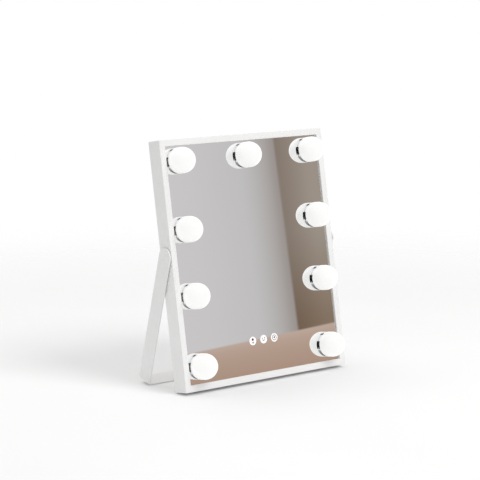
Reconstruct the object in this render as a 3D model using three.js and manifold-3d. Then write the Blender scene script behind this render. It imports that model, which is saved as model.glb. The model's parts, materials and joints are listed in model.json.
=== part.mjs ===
// Lighted vanity mirror on a folding strap stand.
//
// A shallow white steel case holds a silvered glass plate. Nine frosted lamps stand on the glass round
// its edge, each over a chromed collar. Behind the glass are a backing board, a touch board under three
// touch marks, a control board, the wiring and a flush back cover with the power inlet. A U-shaped steel
// strap turns on two studs in the case's sides: opened, it props the case up, and folded, it wraps round
// the case's sides and bottom.
//
// Millimetres, +Z up, front towards -Y. The origin is under the middle of the standing object, on the
// surface that it stands on.

import * as THREE from "three";
import { mergeVertices } from "three/addons/utils/BufferGeometryUtils.js";
import Module from "manifold-3d";

const wasm = await Module();
wasm.setup();

// ---------------------------------------------------------------- driving dimensions

const CASE_W = 250; // width of the case
const CASE_H = 300; // height of the case, along its own slope
const CASE_D = 22; // depth of the case
const WALL = 1.2; // sheet of the case's sides
const LIP_W = 8; // width of the front lip
const LIP_T = 1.7; // thickness of the front lip, a folded hem
const CORNER_R = 1.5; // outer corners of the case, seen from the front
const LEAN = THREE.MathUtils.degToRad(10); // backward lean of the case when it stands
const GAP = 0.3; // gap left between pieces that rest on each other

const GLASS_T = 3;
const BOARD_T = 2.5; // backing board
const COVER_T = 1.5;
const COVER_INSET = 0.6; // back cover's outer face, in front of the case's rear edge

const LAMP_X = 100; // lamp columns, to each side of the middle
const LAMP_ROWS = [28.5, 112.5, 192, 274]; // lamp centres above the case's bottom
const DOME_R = 15.6;
const DOME_CENTRE = 10.5; // where a dome's straight skirt turns into its round cap, over the glass
const DOME_WALL = 1.3;
const COLLAR_R = 15.2;
const COLLAR_H = 3.1; // top of the collar, over the glass
const STEM_R = 6; // lamp stem that passes through the glass

const TOUCH_Z = 48; // row of touch marks above the case's bottom
const TOUCH_PITCH = 16.8; // between touch marks

const PIVOT_Z = 162; // stand pivot above the case's bottom
const STRAP_T = 1.5;
const SWING_GAP = 0.7; // between the case's bottom corner and the strap that swings past it
const STRAP_SIDE_GAP = 1; // between the case's side and the strap, filled by the bush's flange
const FOOT_LIFT = 0.3; // the case's and the strap's lowest edges, above the surface

const ROUND = { fine: 24, lamp: 16, small: 12 }; // sides of round pieces

// ---------------------------------------------------------------- derived dimensions

const FRONT = -CASE_D; // front face of the case, in the case's own frame
const GLASS_FRONT = FRONT + LIP_T + GAP;
const GLASS_REAR = GLASS_FRONT + GLASS_T;
const BOARD_FRONT = GLASS_REAR + GAP;
const BOARD_REAR = BOARD_FRONT + BOARD_T;
const COVER_REAR = -COVER_INSET;
const COVER_FRONT = COVER_REAR - COVER_T;
const INNER_X = CASE_W / 2 - WALL;
const PIVOT_Y = -CASE_D / 2;

// The strap reaches just past the case's bottom corners, so that it can swing under them.
const STRAP_W = CASE_D;
const STRAP_LENGTH = Math.hypot(PIVOT_Z, CASE_D / 2) + SWING_GAP + STRAP_T;
const STRAP_INNER_X = CASE_W / 2 + STRAP_SIDE_GAP;
const STRAP_OUTER_X = STRAP_INNER_X + STRAP_T;

// Height of the pivot over the surface, with the case's rear bottom edge lifted by its feet.
const PIVOT_HEIGHT =
  FOOT_LIFT + PIVOT_Z * Math.cos(LEAN) + (CASE_D / 2) * Math.sin(LEAN);
// Angle of the strap from the vertical that puts its front bottom edge at the same lift.
const STRAP_REACH = Math.hypot(STRAP_LENGTH, STRAP_W / 2);
const SPLAY =
  Math.atan2(STRAP_W / 2, STRAP_LENGTH) +
  Math.acos((PIVOT_HEIGHT - FOOT_LIFT) / STRAP_REACH);
const OPEN_ANGLE = LEAN + SPLAY; // between the folded and the opened strap

// ---------------------------------------------------------------- materials

const finish = (color, roughness, metalness = 0) =>
  new THREE.MeshStandardMaterial({ color, roughness, metalness });

const MATERIAL = {
  paint: finish(0xf2f0ee, 0.45),
  mirror: finish(0xd9dde0, 0.03, 1),
  dome: finish(0xfafaf8, 0.35),
  chrome: finish(0xdfe2e5, 0.06, 1),
  plastic: finish(0xf0f0ec, 0.5),
  board: finish(0xb89b74, 0.8),
  circuit: finish(0x1f6b45, 0.5),
  led: finish(0xe8e6da, 0.5),
  inlet: finish(0x1b1b1d, 0.4),
  wire: finish(0xc8342c, 0.5),
  nylon: finish(0xe6e4dc, 0.5),
  steel: finish(0xb9bcc0, 0.35, 1),
  silicone: finish(0xdcdcd8, 0.6),
};

// ---------------------------------------------------------------- geometry helpers

// A closed geometry as a solid for joining and cutting.
function solid(geometry) {
  const bare = geometry.clone();
  bare.deleteAttribute("normal");
  bare.deleteAttribute("uv");
  const merged = mergeVertices(bare, 1e-4);
  return new wasm.Manifold(
    new wasm.Mesh({
      numProp: 3,
      vertProperties: merged.attributes.position.array,
      triVerts: new Uint32Array(merged.index.array),
    }),
  );
}

// A solid back as a geometry that a mesh can show.
function geometryOf(made) {
  const mesh = made.getMesh();
  const geometry = new THREE.BufferGeometry();
  geometry.setAttribute(
    "position",
    new THREE.BufferAttribute(new Float32Array(mesh.vertProperties), 3),
  );
  geometry.setIndex(new THREE.BufferAttribute(mesh.triVerts, 1));
  const flat = geometry.toNonIndexed();
  flat.computeVertexNormals();
  return flat;
}

const joined = (first, ...rest) =>
  rest.reduce((all, next) => all.add(solid(next)), solid(first));
const cut = (whole, ...tools) =>
  tools.reduce((left, tool) => left.subtract(solid(tool)), whole);

// A block between two corners.
function block([x0, y0, z0], [x1, y1, z1]) {
  const geometry = new THREE.BoxGeometry(x1 - x0, y1 - y0, z1 - z0);
  return geometry.translate((x0 + x1) / 2, (y0 + y1) / 2, (z0 + z1) / 2);
}

// A rectangle with rounded corners, centred on x and starting at the height z0.
function roundedRectangle(width, z0, z1, radius) {
  const shape = new THREE.Shape();
  const x = width / 2;
  shape.moveTo(-x + radius, z0);
  shape.lineTo(x - radius, z0);
  shape.absarc(x - radius, z0 + radius, radius, -Math.PI / 2, 0, false);
  shape.lineTo(x, z1 - radius);
  shape.absarc(x - radius, z1 - radius, radius, 0, Math.PI / 2, false);
  shape.lineTo(-x + radius, z1);
  shape.absarc(-x + radius, z1 - radius, radius, Math.PI / 2, Math.PI, false);
  shape.lineTo(-x, z0 + radius);
  shape.absarc(-x + radius, z0 + radius, radius, Math.PI, 1.5 * Math.PI, false);
  return shape;
}

// A shape drawn in x and z, thick from y0 to y1.
function plateAcrossY(shape, y0, y1, curveSegments = 3) {
  const geometry = new THREE.ExtrudeGeometry(shape, {
    depth: y1 - y0,
    bevelEnabled: false,
    curveSegments,
  });
  return geometry.rotateX(Math.PI / 2).translate(0, y1, 0);
}

// A shape drawn in y and z, thick from x0 to x1.
function plateAcrossX(shape, x0, x1, curveSegments = 8) {
  const geometry = new THREE.ExtrudeGeometry(shape, {
    depth: x1 - x0,
    bevelEnabled: false,
    curveSegments,
  });
  const turn = new THREE.Matrix4().makeBasis(
    new THREE.Vector3(0, 1, 0),
    new THREE.Vector3(0, 0, 1),
    new THREE.Vector3(1, 0, 0),
  );
  return geometry.applyMatrix4(turn).translate(x0, 0, 0);
}

// A round piece turned about an axis along y: the profile gives radius and place along y.
function turnedAboutY(profile, sides) {
  const points = profile.map(([r, y]) => new THREE.Vector2(r, y));
  return new THREE.LatheGeometry(points, sides);
}

// A plain round bar along y, round (x, z).
function barAlongY(radius, y0, y1, x, z, sides = ROUND.small) {
  return turnedAboutY(
    [
      [0, y0],
      [radius, y0],
      [radius, y1],
      [0, y1],
    ],
    sides,
  ).translate(x, 0, z);
}

// A round piece turned about an axis along x: the profile gives radius and place along x.
const turnedAboutX = (profile, sides) =>
  turnedAboutY(profile, sides).rotateZ(-Math.PI / 2);

// ---------------------------------------------------------------- the assembly's groups

const root = new THREE.Group();
const standing = new THREE.Group(); // everything, placed so that the origin is under its middle
const mirrorCase = new THREE.Group(); // case frame: x across, y from -CASE_D to 0, z up the case's slope
const stand = new THREE.Group(); // stand frame: origin on the pivot axis, strap hanging towards -z
root.add(standing);
standing.add(mirrorCase, stand);

mirrorCase.rotation.x = -LEAN;
mirrorCase.position.z = FOOT_LIFT;
mirrorCase.updateMatrixWorld(true);

stand.position.copy(mirrorCase.localToWorld(new THREE.Vector3(0, PIVOT_Y, PIVOT_Z)));
stand.rotation.x = SPLAY;

function addPiece(group, name, shape, material) {
  const geometry = shape.isBufferGeometry ? shape : geometryOf(shape);
  const mesh = new THREE.Mesh(geometry, material);
  mesh.name = name;
  group.add(mesh);
  return mesh;
}

// ---------------------------------------------------------------- pivot dimensions

const SIDES = [
  [-1, "left"],
  [1, "right"],
];

const DOUBLER_T = 1.2; // plate welded inside the case's wall round the pivot
const CAM_T = 1.6;
const STUD_HEAD_T = 1.4;

// Places along x of a pivot's pieces, measured outwards from the middle of the object.
const BUSH_FLANGE_OUT = STRAP_INNER_X - 0.2;
const BUSH_FLANGE_IN = CASE_W / 2 + 0.1;
const DOUBLER_IN = INNER_X - DOUBLER_T;
const CAM_OUT = DOUBLER_IN - 0.5;
const CAM_IN = CAM_OUT - CAM_T;
const STUD_END = CAM_IN - GAP - STUD_HEAD_T;

const STUD_R = 3;
const STUD_HEAD_R = 4.2;
const BUSH_BORE_R = STUD_R + 0.15;
const BUSH_SLEEVE_R = 4.3;
const BUSH_FLANGE_R = 7.5;
const BUSH_HOLE_R = 4.7;
const DOUBLER = { front: -5.4, rear: 8.4, halfHeight: 14 };

// A cam on each stud swings between two lugs of the plate, which stop the stand folded and opened.
const CAM = { hubR: 5, tipR: 8.6, armHalf: 1.8, holeR: STUD_R + 0.25 };
const CAM_REST = THREE.MathUtils.degToRad(30); // cam's arm, opened: from upwards towards the rear
const LUG = { fromR: 5.6, toR: 8.2, half: 1.2 };
const LUG_SLACK = THREE.MathUtils.degToRad(0.8);
const TOUCH_ANGLE =
  Math.asin(CAM.armHalf / LUG.fromR) + Math.asin(LUG.half / LUG.fromR) + LUG_SLACK;

// A straight arm in y and z from one radius to another, turned from +z towards +y by an angle.
function arm(fromR, toR, half, angle) {
  const along = new THREE.Vector2(Math.sin(angle), Math.cos(angle));
  const across = new THREE.Vector2(Math.cos(angle), -Math.sin(angle));
  const corner = (r, side) =>
    along.clone().multiplyScalar(r).addScaledVector(across, side * half);
  return new THREE.Shape([
    corner(fromR, 1),
    corner(toR, 1),
    corner(toR, -1),
    corner(fromR, -1),
  ]);
}

// A disc in y and z, thick from x0 to x1.
const disc = (radius, x0, x1, sides = ROUND.lamp) =>
  turnedAboutX(
    [
      [0, x0],
      [radius, x0],
      [radius, x1],
      [0, x1],
    ],
    sides,
  );

// Places along x of a piece that is drawn for the right side, taken to the side that is asked for.
const onSide = (side, outer, inner) => (side > 0 ? [inner, outer] : [-outer, -inner]);

// ---------------------------------------------------------------- case

const GUSSET = 22; // leg of the triangular plates that take the cover's screws
const GUSSET_T = 1.8;
const GUSSET_REAR = COVER_FRONT - GAP;
const GUSSET_FRONT = GUSSET_REAR - GUSSET_T;
const SCREW = { shankR: 1.5, headR: 2.8, crownR: 2.4, crownY: 1.5, topY: 1.7, holeR: 1.8, sides: 8 };
const SCREW_END = GUSSET_FRONT - 1.5;
const SCREW_INSET = 11;
const SCREW_PLACES = [
  [-CASE_W / 2 + SCREW_INSET, SCREW_INSET],
  [CASE_W / 2 - SCREW_INSET, SCREW_INSET],
  [-CASE_W / 2 + SCREW_INSET, CASE_H - SCREW_INSET],
  [CASE_W / 2 - SCREW_INSET, CASE_H - SCREW_INSET],
];

function gusset(x, z) {
  const sx = Math.sign(x);
  const sz = z < CASE_H / 2 ? 1 : -1;
  const cornerX = sx * (CASE_W / 2 - WALL / 2);
  const cornerZ = sz > 0 ? WALL / 2 : CASE_H - WALL / 2;
  const shape = new THREE.Shape();
  shape.moveTo(cornerX, cornerZ);
  shape.lineTo(cornerX - sx * GUSSET, cornerZ);
  shape.lineTo(cornerX, cornerZ + sz * GUSSET);
  shape.closePath();
  return plateAcrossY(shape, GUSSET_FRONT, GUSSET_REAR);
}

// The plate welded inside the case's wall at a pivot, with the two lugs that stop the stand.
function doubler(side) {
  const { front, rear, halfHeight } = DOUBLER;
  const [x0, x1] = onSide(side, INNER_X + WALL / 2, DOUBLER_IN);
  const [lug0, lug1] = onSide(side, INNER_X, CAM_IN);
  const plate = block([x0, front, -halfHeight], [x1, rear, halfHeight]);
  const lugAngles = [CAM_REST - TOUCH_ANGLE, CAM_REST + OPEN_ANGLE + TOUCH_ANGLE];
  const lugs = lugAngles.map((angle) =>
    plateAcrossX(arm(LUG.fromR, LUG.toR, LUG.half, angle), lug0, lug1),
  );
  return [plate, ...lugs].map((piece) => piece.translate(0, PIVOT_Y, PIVOT_Z));
}

function caseShell() {
  const outer = roundedRectangle(CASE_W, 0, CASE_H, CORNER_R);
  const pocket = block(
    [-INNER_X, FRONT + LIP_T, WALL],
    [INNER_X, 1, CASE_H - WALL],
  );
  const window = block(
    [-CASE_W / 2 + LIP_W, FRONT - 1, LIP_W],
    [CASE_W / 2 - LIP_W, FRONT + LIP_T + 1, CASE_H - LIP_W],
  );
  const sheet = cut(solid(plateAcrossY(outer, FRONT, 0)), pocket, window);
  const additions = [
    ...SCREW_PLACES.map(([x, z]) => gusset(x, z)),
    ...SIDES.flatMap(([side]) => doubler(side)),
  ];
  const shell = additions.reduce((all, piece) => all.add(solid(piece)), sheet);
  const pivotHoles = disc(BUSH_HOLE_R, -CASE_W, CASE_W, ROUND.fine);
  const screwHoles = SCREW_PLACES.map(([x, z]) =>
    barAlongY(SCREW.holeR, SCREW_END, 0, x, z, SCREW.sides),
  );
  return cut(shell, pivotHoles.translate(0, PIVOT_Y, PIVOT_Z), ...screwHoles);
}
addPiece(mirrorCase, "case_shell", caseShell(), MATERIAL.paint);

// ---------------------------------------------------------------- lamp places

const LAMPS = [
  ...LAMP_ROWS.map((z) => [-LAMP_X, z]),
  [0, LAMP_ROWS.at(-1)],
  ...LAMP_ROWS.map((z) => [LAMP_X, z]).reverse(),
];

// ---------------------------------------------------------------- glass and backing board

const GLASS_MARGIN = 2; // glass edge inside the case's outer edge
function mirrorGlass() {
  const plate = roundedRectangle(
    CASE_W - 2 * GLASS_MARGIN,
    GLASS_MARGIN,
    CASE_H - GLASS_MARGIN,
    1,
  );
  const holes = LAMPS.map(([x, z]) =>
    barAlongY(STEM_R + 0.5, GLASS_FRONT - 1, GLASS_REAR + 1, x, z),
  );
  return cut(solid(plateAcrossY(plate, GLASS_FRONT, GLASS_REAR)), ...holes);
}
addPiece(mirrorCase, "mirror_glass", mirrorGlass(), MATERIAL.mirror);

const TOUCH_BOARD = { halfWidth: 30, halfHeight: 9, thickness: 1.2 };
const BOARD_HALF_W = 113;
const BOARD_MARGIN_Z = 8;
function backingBoard() {
  const board = block(
    [-BOARD_HALF_W, BOARD_FRONT, BOARD_MARGIN_Z],
    [BOARD_HALF_W, BOARD_REAR, CASE_H - BOARD_MARGIN_Z],
  );
  const touchWindow = block(
    [-TOUCH_BOARD.halfWidth - 2, BOARD_FRONT - 1, TOUCH_Z - TOUCH_BOARD.halfHeight - 2],
    [TOUCH_BOARD.halfWidth + 2, BOARD_REAR + 1, TOUCH_Z + TOUCH_BOARD.halfHeight + 2],
  );
  const holes = LAMPS.map(([x, z]) =>
    barAlongY(STEM_R + 0.4, BOARD_FRONT - 1, BOARD_REAR + 1, x, z),
  );
  return cut(solid(board), touchWindow, ...holes);
}
addPiece(mirrorCase, "backing_board", backingBoard(), MATERIAL.board);

// ---------------------------------------------------------------- lamps

// Lamp profiles give radius and height over the glass's front face.
const COLLAR_INNER_R = 14.2;
const PLUG = { outerR: 13.9, innerR: 12.7, bottom: 2 }; // dome's rim that plugs into the collar
const DOME_SEAT = COLLAR_H + GAP; // lower edge of the dome's skirt, over the collar

// Points of a dome's round cap, at a depth under its outer surface, from its skirt up to its top.
function domeCap(depth, steps) {
  const radius = DOME_R - depth;
  return Array.from({ length: steps + 1 }, (_, i) => {
    const angle = (Math.PI / 2) * (i / steps);
    const r = i === steps ? 0 : radius * Math.cos(angle);
    return [r, DOME_CENTRE + radius * Math.sin(angle)];
  });
}

const DOME_PROFILE = [
  ...domeCap(DOME_WALL, 3).reverse(),
  [PLUG.innerR, PLUG.bottom],
  [PLUG.outerR, PLUG.bottom],
  [PLUG.outerR, DOME_SEAT],
  [DOME_R, DOME_SEAT],
  ...domeCap(0, 4),
];
const COLLAR_PROFILE = [
  [COLLAR_INNER_R, GAP],
  [COLLAR_R, GAP],
  [COLLAR_R, COLLAR_H],
  [COLLAR_INNER_R, COLLAR_H],
  [COLLAR_INNER_R, GAP],
];

// A lamp's base: a flange on the glass and a hollow stem that snaps in behind the backing board.
const STEM_END = GLASS_FRONT - BOARD_REAR - 4;
const BASE = {
  flangeR: PLUG.outerR - GAP,
  flangeTop: 1.5,
  boreR: STEM_R - 1.8,
  tipR: STEM_R - 0.4,
  barbR: STEM_R + 1.1,
  barbTop: GLASS_FRONT - BOARD_REAR - GAP,
};
const BASE_PROFILE = [
  [BASE.boreR, STEM_END],
  [BASE.tipR, STEM_END],
  [BASE.barbR, BASE.barbTop],
  [STEM_R, BASE.barbTop],
  [STEM_R, GAP],
  [BASE.flangeR, GAP],
  [BASE.flangeR, BASE.flangeTop],
  [BASE.boreR, BASE.flangeTop],
  [BASE.boreR, STEM_END],
];
const LED_BOARD = { radius: PLUG.innerR - 0.5, bottom: BASE.flangeTop + GAP, top: 3 };
const LED_BOARD_PROFILE = [
  [0, LED_BOARD.bottom],
  [LED_BOARD.radius, LED_BOARD.bottom],
  [LED_BOARD.radius, LED_BOARD.top],
  [0, LED_BOARD.top],
];

// A lamp's piece, turned about the lamp's axis, which points forward out of the glass.
function lampPiece(profile, sides, [x, z]) {
  return turnedAboutY(profile, sides)
    .rotateX(Math.PI)
    .translate(x, GLASS_FRONT, z);
}

LAMPS.forEach((place, i) => {
  const n = i + 1;
  const pieces = [
    ["lamp_dome_", DOME_PROFILE, ROUND.lamp, MATERIAL.dome],
    ["lamp_collar_", COLLAR_PROFILE, ROUND.lamp, MATERIAL.chrome],
    ["lamp_base_", BASE_PROFILE, ROUND.small, MATERIAL.plastic],
    ["led_board_", LED_BOARD_PROFILE, ROUND.small, MATERIAL.led],
  ];
  for (const [name, profile, sides, material] of pieces) {
    addPiece(mirrorCase, name + n, lampPiece(profile, sides, place), material);
  }
});

// ---------------------------------------------------------------- electronics

const TOUCH_BOARD_REAR = BOARD_FRONT + TOUCH_BOARD.thickness;
const CHIP_HALF = 2; // half the side of a sensor chip
const TOUCH_SOCKET = { x: 25, halfWidth: 3, halfHeight: 4, depth: 4 };
const SET_IN = 0.5; // how deep the components are set into their board
function touchBoard() {
  const plate = block(
    [-TOUCH_BOARD.halfWidth, BOARD_FRONT, TOUCH_Z - TOUCH_BOARD.halfHeight],
    [TOUCH_BOARD.halfWidth, TOUCH_BOARD_REAR, TOUCH_Z + TOUCH_BOARD.halfHeight],
  );
  const chips = [-1, 0, 1].map((i) =>
    block(
      [i * TOUCH_PITCH - CHIP_HALF, TOUCH_BOARD_REAR - SET_IN, TOUCH_Z - CHIP_HALF],
      [i * TOUCH_PITCH + CHIP_HALF, TOUCH_BOARD_REAR + 1, TOUCH_Z + CHIP_HALF],
    ),
  );
  const { x, halfWidth, halfHeight, depth } = TOUCH_SOCKET;
  const socket = block(
    [x - halfWidth, TOUCH_BOARD_REAR - SET_IN, TOUCH_Z - halfHeight],
    [x + halfWidth, TOUCH_BOARD_REAR + depth, TOUCH_Z + halfHeight],
  );
  return joined(plate, ...chips, socket);
}
addPiece(mirrorCase, "touch_board", touchBoard(), MATERIAL.circuit);

const CONTROL = { x0: 18, x1: 84, z0: 54, z1: 96, front: -7.6, thickness: 1.6 };
const SOCKET = { x: CONTROL.x0 + 1, length: 8, halfWidth: 3, height: 4.5 };
const SOCKET_ROWS = [CONTROL.z0 + 8, CONTROL.z0 + 20, CONTROL.z0 + 32];
const CAPACITOR = { radius: 4, height: 5, fromRight: 9, fromBottom: 10 };
const COIL = { x0: 24, x1: 36, z0: 6, z1: 18, height: 4 }; // from the board's lower left corner
const CHIP = { x0: 30, x1: 40, z0: 26, z1: 34, height: 1.6 };
function controlBoard() {
  const { x0, x1, z0, z1, front, thickness } = CONTROL;
  const inside = front + SET_IN;
  const plate = block([x0, front, z0], [x1, front + thickness, z1]);
  const capacitor = barAlongY(
    CAPACITOR.radius,
    front - CAPACITOR.height,
    inside,
    x1 - CAPACITOR.fromRight,
    z0 + CAPACITOR.fromBottom,
  );
  const [coil, chip] = [COIL, CHIP].map((part) =>
    block(
      [x0 + part.x0, front - part.height, z0 + part.z0],
      [x0 + part.x1, inside, z0 + part.z1],
    ),
  );
  const sockets = SOCKET_ROWS.map((z) =>
    block(
      [SOCKET.x, front - SOCKET.height, z - SOCKET.halfWidth],
      [SOCKET.x + SOCKET.length, inside, z + SOCKET.halfWidth],
    ),
  );
  return joined(plate, capacitor, coil, chip, ...sockets);
}
addPiece(mirrorCase, "control_board", controlBoard(), MATERIAL.circuit);

const INLET = { x: 60, z: 28, mouthR: 3.1, neckR: 4, flangeR: 5.6, flangeT: 1.2, depth: 9, pinR: 1 };
const INLET_BODY = { half: 5, depth: 10 };
function powerInlet() {
  const { x, z, mouthR, neckR, flangeR, flangeT, depth, pinR } = INLET;
  const flangeFront = COVER_REAR + GAP;
  const mouth = flangeFront + flangeT;
  const bodyRear = COVER_FRONT - GAP;
  const body = block(
    [x - INLET_BODY.half, bodyRear - INLET_BODY.depth, z - INLET_BODY.half],
    [x + INLET_BODY.half, bodyRear, z + INLET_BODY.half],
  );
  const neckAndFlange = turnedAboutY(
    [
      [0, bodyRear - 1],
      [neckR, bodyRear - 1],
      [neckR, flangeFront],
      [flangeR, flangeFront],
      [flangeR, mouth],
      [0, mouth],
    ],
    ROUND.lamp,
  ).translate(x, 0, z);
  const bottom = mouth - depth;
  const hole = barAlongY(mouthR, bottom, mouth + 1, x, z, ROUND.lamp);
  const pin = barAlongY(pinR, bottom - 1, mouth - 1, x, z, ROUND.small);
  return cut(joined(body, neckAndFlange), hole).add(solid(pin));
}
addPiece(mirrorCase, "power_inlet", powerInlet(), MATERIAL.inlet);

// A wire along a smooth curve through points given as x, y and z.
function wire(radius, steps, points) {
  const section = new THREE.Shape().absarc(0, 0, radius, 0, 2 * Math.PI, false);
  const route = points.map((p) => new THREE.Vector3(...p));
  return new THREE.ExtrudeGeometry(section, {
    steps,
    curveSegments: 3,
    bevelEnabled: false,
    extrudePath: new THREE.CatmullRomCurve3(route, false, "centripetal"),
  });
}

// The lamp wiring leaves the control board, goes up one column of lamps, across the top and down the
// other. The points of each route between its ends were chosen to pass clear of the boards.
const SOCKET_Y = CONTROL.front - SOCKET.height / 2;
const WIRE_R = 1.3;
const LEAD_R = 0.9;
const WIRE_Y = BOARD_REAR + 3.6;
const LEAD_Y = WIRE_Y + 3; // a lamp's lead passes behind the end of its stem
const LEAD_END = GLASS_FRONT - LED_BOARD.bottom + GAP; // a lamp's lead ends at its lamp's board
const WIRE_OFFSET = 9.8; // from the run of the wiring to the lamps' centres
const WIRE_X = LAMP_X - WIRE_OFFSET;
const WIRE_TOP = LAMP_ROWS.at(-1) - WIRE_OFFSET;
const WIRE_CORNER = 4; // how far the run cuts its upper corners
function lampWiring() {
  const run = wire(WIRE_R, 80, [
    [SOCKET.x - GAP, SOCKET_Y, SOCKET_ROWS[2]],
    [SOCKET.x - 6, SOCKET_Y, SOCKET_ROWS[2]],
    [0, WIRE_Y, 84],
    [-40, WIRE_Y, 70],
    [-76, WIRE_Y, 24],
    [-WIRE_X + 2, WIRE_Y, 18],
    [-WIRE_X, WIRE_Y, 30],
    [-WIRE_X, WIRE_Y, 150],
    [-WIRE_X, WIRE_Y, WIRE_TOP - 14],
    [-WIRE_X + WIRE_CORNER, WIRE_Y, WIRE_TOP - WIRE_CORNER],
    [-WIRE_X + 14, WIRE_Y, WIRE_TOP],
    [0, WIRE_Y, WIRE_TOP],
    [WIRE_X - 14, WIRE_Y, WIRE_TOP],
    [WIRE_X - WIRE_CORNER, WIRE_Y, WIRE_TOP - WIRE_CORNER],
    [WIRE_X, WIRE_Y, WIRE_TOP - 14],
    [WIRE_X, WIRE_Y, 150],
    [WIRE_X, WIRE_Y, LAMP_ROWS[0] - 2],
  ]);
  const leads = LAMPS.map(([x, z]) => {
    const inward = z > WIRE_TOP ? WIRE_CORNER : 0;
    const startX = x - Math.sign(x) * (WIRE_OFFSET + inward);
    const startZ = Math.min(z, WIRE_TOP - Math.sign(Math.abs(x)) * inward);
    return wire(LEAD_R, 10, [
      [startX, WIRE_Y, startZ],
      [(startX + x) / 2, LEAD_Y, (startZ + z) / 2],
      [x, LEAD_Y, z],
      [x, WIRE_Y - 3, z],
      [x, LEAD_END, z],
    ]);
  });
  return joined(run, ...leads);
}
addPiece(mirrorCase, "lamp_wiring", lampWiring(), MATERIAL.wire);

const TOUCH_WIRE_Y = TOUCH_BOARD_REAR + TOUCH_SOCKET.depth + GAP; // where it leaves its socket
const touchWiring = wire(LEAD_R, 16, [
  [TOUCH_SOCKET.x, TOUCH_WIRE_Y, TOUCH_Z],
  [TOUCH_SOCKET.x, TOUCH_WIRE_Y + 1.2, TOUCH_Z],
  [22, -9.2, TOUCH_Z + 3],
  [14, SOCKET_Y, 56],
  [13, SOCKET_Y, 60],
  [SOCKET.x - 3, SOCKET_Y, SOCKET_ROWS[0]],
  [SOCKET.x - GAP, SOCKET_Y, SOCKET_ROWS[0]],
]);
addPiece(mirrorCase, "touch_wiring", touchWiring, MATERIAL.wire);

const inletWiring = wire(WIRE_R, 24, [
  [INLET.x, -7, INLET.z + INLET_BODY.half + GAP],
  [INLET.x, -7, INLET.z + INLET_BODY.half + 5],
  [34, -7, 40],
  [10, -8, 42],
  [6, SOCKET_Y, 52],
  [6, SOCKET_Y, 66],
  [SOCKET.x - 4, SOCKET_Y, SOCKET_ROWS[1]],
  [SOCKET.x - GAP, SOCKET_Y, SOCKET_ROWS[1]],
]);
addPiece(mirrorCase, "inlet_wiring", inletWiring, MATERIAL.wire);

// ---------------------------------------------------------------- back cover and its screws

const VENT = { count: 7, pitch: 6, length: 22, width: 2.4 };
function backCover() {
  const plate = roundedRectangle(2 * (INNER_X - GAP), WALL + GAP, CASE_H - WALL - GAP, 1);
  const screwHoles = SCREW_PLACES.map(([x, z]) =>
    barAlongY(SCREW.holeR, COVER_FRONT - 1, 1, x, z, SCREW.sides),
  );
  const inletHole = barAlongY(
    INLET.neckR + GAP,
    COVER_FRONT - 1,
    1,
    INLET.x,
    INLET.z,
    ROUND.lamp,
  );
  const ventX = (CONTROL.x0 + CONTROL.x1) / 2;
  const ventZ = (CONTROL.z0 + CONTROL.z1) / 2;
  const vents = Array.from({ length: VENT.count }, (_, i) => {
    const x = ventX + (i - (VENT.count - 1) / 2) * VENT.pitch;
    return block(
      [x - VENT.width / 2, COVER_FRONT - 1, ventZ - VENT.length / 2],
      [x + VENT.width / 2, 1, ventZ + VENT.length / 2],
    );
  });
  return cut(
    solid(plateAcrossY(plate, COVER_FRONT, COVER_REAR)),
    ...screwHoles,
    inletHole,
    ...vents,
  );
}
addPiece(mirrorCase, "back_cover", backCover(), MATERIAL.paint);

SCREW_PLACES.forEach(([x, z], i) => {
  const head = COVER_REAR + 0.1;
  const profile = [
    [0, SCREW_END],
    [SCREW.shankR, SCREW_END],
    [SCREW.shankR, head],
    [SCREW.headR, head],
    [SCREW.crownR, head + SCREW.crownY],
    [0, head + SCREW.topY],
  ];
  const screw = turnedAboutY(profile, ROUND.small).translate(x, 0, z);
  addPiece(mirrorCase, `cover_screw_${i + 1}`, screw, MATERIAL.steel);
});

// ---------------------------------------------------------------- feet of the case

// Both feet and the stand's strip are wedges whose underside lies flat on the surface when the object
// stands. wedge() gives the section of one: it is bonded under a face that slopes by the angle, from its
// low edge inwards.
const FOOT_BOND = 0.1; // bond line between a foot and what it is stuck to
function wedge(slope, from, to, tail, direction) {
  const drop = (along) => (FOOT_LIFT + along * Math.sin(slope)) / Math.cos(slope);
  const shape = new THREE.Shape();
  shape.moveTo(-direction * from, -FOOT_BOND);
  shape.lineTo(-direction * from, -drop(from));
  shape.lineTo(-direction * to, -drop(to));
  shape.lineTo(-direction * tail, -drop(from));
  shape.lineTo(-direction * tail, -FOOT_BOND);
  shape.closePath();
  return shape;
}

const CASE_FOOT = { x: 92, halfLength: 14, from: 0.6, to: 2.2, tail: 6 };
for (const [side, word] of SIDES) {
  const section = wedge(LEAN, CASE_FOOT.from, CASE_FOOT.to, CASE_FOOT.tail, 1);
  const x = side * CASE_FOOT.x;
  const foot = plateAcrossX(section, x - CASE_FOOT.halfLength, x + CASE_FOOT.halfLength);
  addPiece(mirrorCase, "case_foot_" + word, foot, MATERIAL.silicone);
}

// ---------------------------------------------------------------- stand

const BEND_R = 2.5; // outer radius of the strap's bends

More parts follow.
